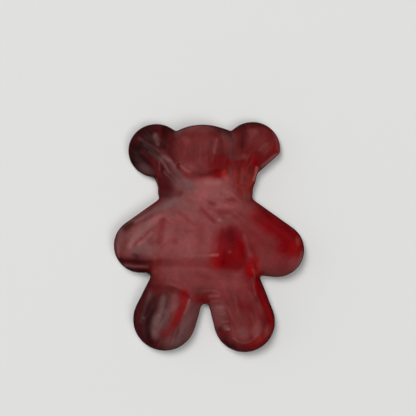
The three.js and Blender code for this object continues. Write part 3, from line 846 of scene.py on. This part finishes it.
def press_front(bear, name, strokes, depth):
    """Moves the surface along its normal where the strokes run: inwards where depth is negative."""
    plan = points_of(bear)[:, :2] / MM
    facing_up = ease(normals_of(bear)[:, 2], *PRESSED)
    weight = np.zeros(len(plan))
    for strength, width, *line in strokes:
        weight = np.maximum(weight, strength * on_line(plan, width, line))
    weigh(bear, name, weight * facing_up)
    finish_with(bear, "DISPLACE", strength=depth, mid_level=0, vertex_group=name)


# The same for the shoulders with the sides, the sides, the rim, the part that turns under, and the
# back, each of which ends as the surface turns up.
FLANK, SIDE, RIM, UNDER, BACK = (0.2, 0.75), (0.15, 0.45), (0.0, 0.25), (-0.3, 0.0), (-0.9, -0.5)


def tint(bear, finish):
    """Lays the tones, painted light and shade among them, on the bear as colours of its points, and
    beside them how wet each tone is.
    """
    places, normals = points_of(bear), normals_of(bear)
    up = normals[:, 2]
    plan = unsteady(places[:, :2] / MM, size=5, amount=0.5)
    paints = {
        tone: (np.array(getattr(finish, tone)), wetness) for tone, (_, wetness, _) in TONES.items()
    }
    colours = np.tile(paints[FLESH][0], (len(plan), 1))
    wet = np.full(len(plan), paints[FLESH][1])

    def lay(tone, weight):
        nonlocal colours, wet
        look, wetness = paints[tone]
        colours = colours + (look - colours) * weight[:, None]
        wet = wet + (wetness - wet) * weight

    for tone, strength, shape in GROUND:
        lay(tone, strength * shape(plan))
    for layer, (tone, strength, middle, reach, turn, space) in enumerate(WISPS, start=5):
        wisp = ease(soft_noise(plan, space, layer, turn, drawn_out=5), 0.0, 0.55)
        lay(tone, strength * in_oval(plan, middle, reach) * wisp)

    steep = 1 - ease(up, *FLANK)
    lay(FLESH, 0.5 * steep)
    # Painted light and shade on the sides, by the way each side faces.
    for tone, strength, middle, reach, facing in SIDE_LIGHT_AND_SHADE:
        towards, _ = turned(normals[:, :2], facing)
        lay(tone, strength * steep * ease(towards, 0, 0.6) * in_oval(plan, middle, reach))

    # Marks are laid a little unevenly.
    uneven = 0.92 + 0.3 * soft_noise(plan, 6, layer=3)
    for tone, strength, shape in MARKS:
        lay(tone, np.clip(strength * shape(plan) * uneven, 0, 1) * ease(up, *MARKED))
    # Painted shade: a nearly black red rim where the surface turns down.
    lay(PAINTED_DEEP_SHADE, 0.8 * (1 - ease(up, *RIM)))
    lay(CLEAR, 0.6 * (1 - ease(up, *UNDER)))
    # The shoulders are half wet, and the sides have the mould's own gloss.
    wet = wet + (0.5 - wet) * steep
    wet = wet + (0.9 - wet) * (1 - ease(up, *SIDE))
    lay(FLESH, 1 - ease(up, *BACK))

    rgba = np.hstack([colours, np.ones((len(plan), 1))]).astype(np.float32)
    bear.data.attributes.new("tint", "FLOAT_COLOR", "POINT").data.foreach_set("color", rgba.ravel())
    bear.data.attributes.new("wet", "FLOAT", "POINT").data.foreach_set("value", wet.astype(np.float32))


# ---- Materials ----


def add(tree, kind, settings=None, **links):
    """A shader node of this kind, with its settings and with its sockets set or linked by name."""
    node = tree.nodes.new(f"ShaderNode{kind}")
    for key, value in (settings or {}).items():
        setattr(node, key, value)
    for name, value in links.items():
        socket = node.inputs[int(name[1:]) if name[0] == "_" else name.replace("_", " ")]
        if isinstance(value, bpy.types.NodeSocket):
            tree.links.new(value, socket)
        else:
            socket.default_value = value
    return node


def ramp(tree, value, start, stop, at_start, at_stop, kind="SMOOTHSTEP"):
    """Turns one range of a value into another, and stays flat outside it."""
    return add(
        tree, "MapRange", {"interpolation_type": kind}, Value=value,
        From_Min=start, From_Max=stop, To_Min=at_start, To_Max=at_stop,
    ).outputs["Result"]


def times(tree, one, other):
    return add(tree, "Math", {"operation": "MULTIPLY"}, _0=one, _1=other).outputs[0]


def speckle(tree, place, size, detail, roughness=0.5):
    """Noise with features of this size in millimetres."""
    return add(
        tree, "TexNoise", Vector=place, Scale=1 / (size * MM), Detail=detail, Roughness=roughness
    ).outputs["Fac"]


def new_material(name):
    material = bpy.data.materials.new(name)
    material.use_nodes = True
    material.node_tree.nodes.clear()
    return material, material.node_tree


def gelatine(finish):
    """Moulded gelatine: dark, cloudy red that light sinks into, with a dried bloom and painted light
    and shade on top, and wet, clear places. The bloom and painted sheen give the eye softness, the
    wet places their depth."""
    material, tree = new_material("moulded_gelatine")
    place = add(tree, "TexCoord").outputs["Object"]
    tone = add(tree, "Attribute", {"attribute_name": "tint"}).outputs["Color"]
    wet = add(tree, "Attribute", {"attribute_name": "wet"}).outputs["Fac"]

    # Cloudiness in the gelatine, about 7 mm across, and its finer mottling, about 2 mm.
    clouds = ramp(tree, speckle(tree, place, 7, 3.0, 0.55), 0.3, 0.7, 0.86, 1.14, "LINEAR")
    mottle = ramp(tree, speckle(tree, place, 2, 2.0), 0.3, 0.7, 0.93, 1.07, "LINEAR")
    base = add(
        tree, "VectorMath", {"operation": "SCALE"}, _0=tone, Scale=times(tree, clouds, mottle)
    ).outputs["Vector"]

    # Dull and wet places, broken up a little by the clouds.
    dullness = ramp(tree, wet, 0.3, 1.0, finish.dry_roughness, finish.wet_roughness)
    film = ramp(tree, wet, 0.5, 1.0, 0.0, 0.8)

    # The mould's skin: shallow waves about 5 mm long and a fine orange peel under 1 mm.
    waves = speckle(tree, place, 5, 1.0)
    peel = speckle(tree, place, 0.9, 2.0)
    skin = add(tree, "Bump", Height=waves, Strength=0.5, Distance=0.4 * MM).outputs["Normal"]
    skin = add(
        tree, "Bump", Height=peel, Strength=0.25, Distance=0.1 * MM, Normal=skin
    ).outputs["Normal"]

    shader = add(
        tree, "BsdfPrincipled", {"subsurface_method": "RANDOM_WALK"},
        Base_Color=base, Roughness=times(tree, dullness, clouds), Normal=skin, IOR=1.48, Metallic=0.0,
        Subsurface_Weight=0.35, Subsurface_Radius=(1.0, 0.22, 0.16), Subsurface_Scale=finish.depth,
        Specular_IOR_Level=0.06, Coat_Weight=film, Coat_Roughness=0.1, Coat_IOR=1.4,
    )
    add(tree, "OutputMaterial", Surface=shader.outputs["BSDF"])
    return material


def floor_board(studio):
    """A plain board sprayed matt, so that it shows only the bear's soft shadow."""
    material, tree = new_material("matt_sprayed_board")
    shader = add(
        tree, "BsdfPrincipled", Base_Color=(*studio.floor, 1), Roughness=0.9, Specular_IOR_Level=0.2
    )
    add(tree, "OutputMaterial", Surface=shader.outputs["BSDF"])
    return material


# ---- Operators ----


class GUMMY_OT_bear(bpy.types.Operator):
    """Models the gummy bear as one piece of gelatine and gives it its finish"""

    bl_idname = "gummy.bear"
    bl_label = "Gummy bear"
    bl_options = {"REGISTER", "UNDO"}

    def execute(self, context):
        shape, finish = context.scene.gummy_shape, context.scene.gummy_finish
        masses = {name: add_dome(shape, *sizes_of(shape, name, OVAL_SIZES)) for name in OVALS}
        flatten_ear(shape, masses["right_ear"])
        for name in LIMBS:
            masses[name] = add_limb(shape, *sizes_of(shape, name, LIMB_SIZES))
        bear = run_together(shape, list(masses.values()))
        press_ears(shape, bear)
        centre_on_back(bear)
        press_front(bear, "creases", CREASES, -shape.crease)
        press_front(bear, "folds", FOLDS, shape.fold)
        finish_with(bear, "SMOOTH", iterations=2)
        tint(bear, finish)
        bear.name = bear.data.name = PIECE
        bear.data.materials.append(gelatine(finish))
        take(bear)
        bpy.ops.object.shade_smooth()
        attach(bear, "root")
        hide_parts("gummy_bear")
        return {"FINISHED"}


FLOOR_WIDTH, FLOOR_GAP = 9, 0.05 * MM  # in metres
ROOM_TINT = (0.95, 0.97, 1, 1)
# Each softbox: its place and its size in metres, and whether it shows in the gloss.
LAMPS = {
    "key": ((-1.0, 1.35, 4.0), (1.6, 1.6), True),
    "side": ((-4.2, 0.8, 2.6), (4.8, 3.8), True),
    "fill": ((1.2, -1.2, 3.8), (1.9, 1.9), False),
}


class GUMMY_OT_studio(bpy.types.Operator):
    """Lays the floor and sets the softboxes, the room and the camera"""

    bl_idname = "gummy.studio"
    bl_label = "Studio"
    bl_options = {"REGISTER", "UNDO"}

    def execute(self, context):
        studio = context.scene.gummy_studio
        clear_selection()
        bpy.ops.mesh.primitive_plane_add(size=FLOOR_WIDTH, location=(0, 0, -FLOOR_GAP))
        floor = context.object
        floor.name = "floor"
        bpy.ops.object.transform_apply(location=True)
        floor.data.materials.append(floor_board(studio))
        # The bear's sides would mirror the floor and lose their depth.
        floor.visible_glossy = False

        for name, (place, size, glints) in LAMPS.items():
            bpy.ops.object.light_add(type="AREA", location=place)
            lamp = context.object
            lamp.name = f"{name}_softbox"
            lamp.rotation_euler = (-Vector(place)).to_track_quat("-Z", "Y").to_euler()
            lamp.data.shape = "RECTANGLE"
            lamp.data.size, lamp.data.size_y = size
            lamp.data.energy = getattr(studio, name)
            lamp.visible_camera = False
            lamp.visible_glossy = glints

        room = bpy.data.worlds.new("studio_room")
        context.scene.world = room
        room.use_nodes = True
        tree = room.node_tree
        tree.nodes.clear()
        towards = add(tree, "SeparateXYZ", Vector=add(tree, "TexCoord").outputs["Generated"]).outputs
        # Pale walls between a dark ceiling and a dark foot, so that the bear's flat tops and its rims
        # stay deep in colour. The wall on the right is darker, so that the flanks there keep their red.
        ceiling = ramp(tree, towards["Z"], 0.2, 0.8, 1.6, 0.12)
        foot = ramp(tree, towards["Z"], -0.1, 0.1, 0.1, 1.0)
        across = ramp(tree, towards["X"], -0.3, 0.6, studio.room, 0.3 * studio.room)
        strength = add(
            tree, "Mix", {"data_type": "FLOAT"}, _0=add(tree, "LightPath").outputs["Is Camera Ray"],
            _2=times(tree, times(tree, ceiling, foot), across), _3=studio.backdrop,
        ).outputs["Result"]
        light = add(tree, "Background", Color=ROOM_TINT, Strength=strength)
        add(tree, "OutputWorld", Surface=light.outputs["Background"])

        # The camera looks straight down, with the head at the top of its view.
        lens = bpy.data.cameras.new("camera")
        lens.lens = studio.lens
        away = studio.view_width * lens.lens / lens.sensor_width
        camera = bpy.data.objects.new("camera", lens)
        camera.location = (*studio.view_at, context.scene.gummy_shape.girth + away)
        context.scene.collection.objects.link(camera)
        context.scene.camera = camera
        context.scene.view_settings.view_transform = "Standard"
        return {"FINISHED"}


class GUMMY_PT_maker(bpy.types.Panel):
    """The steps that make the bear and its studio"""

    bl_label = "Large gummy bear"
    bl_idname = "GUMMY_PT_maker"
    bl_space_type = "VIEW_3D"
    bl_region_type = "UI"
    bl_category = "Gummy"

    def draw(self, context):
        for step in STEPS:
            self.layout.operator(step.bl_idname)
        for settings in SETTINGS:
            group = getattr(context.scene, settings)
            box = self.layout.box()
            for name in group.bl_rna.properties.keys():
                if name not in {"rna_type", "name"}:
                    box.prop(group, name)


SETTINGS = {
    "gummy_shape": GummyBearShape, "gummy_finish": GummyBearFinish, "gummy_studio": GummyBearStudio,
}
STEPS = (GUMMY_OT_bear, GUMMY_OT_studio)


def register():
    for kind in (*SETTINGS.values(), *STEPS, GUMMY_PT_maker):
        bpy.utils.register_class(kind)
    for name, kind in SETTINGS.items():
        setattr(bpy.types.Scene, name, PointerProperty(type=kind))


def unregister():
    for name in SETTINGS:
        delattr(bpy.types.Scene, name)
    for kind in reversed((*SETTINGS.values(), *STEPS, GUMMY_PT_maker)):
        bpy.utils.unregister_class(kind)


def main():
    register()
    bpy.ops.gummy.bear()
    bpy.ops.gummy.studio()


if __name__ == "__main__":
    main()
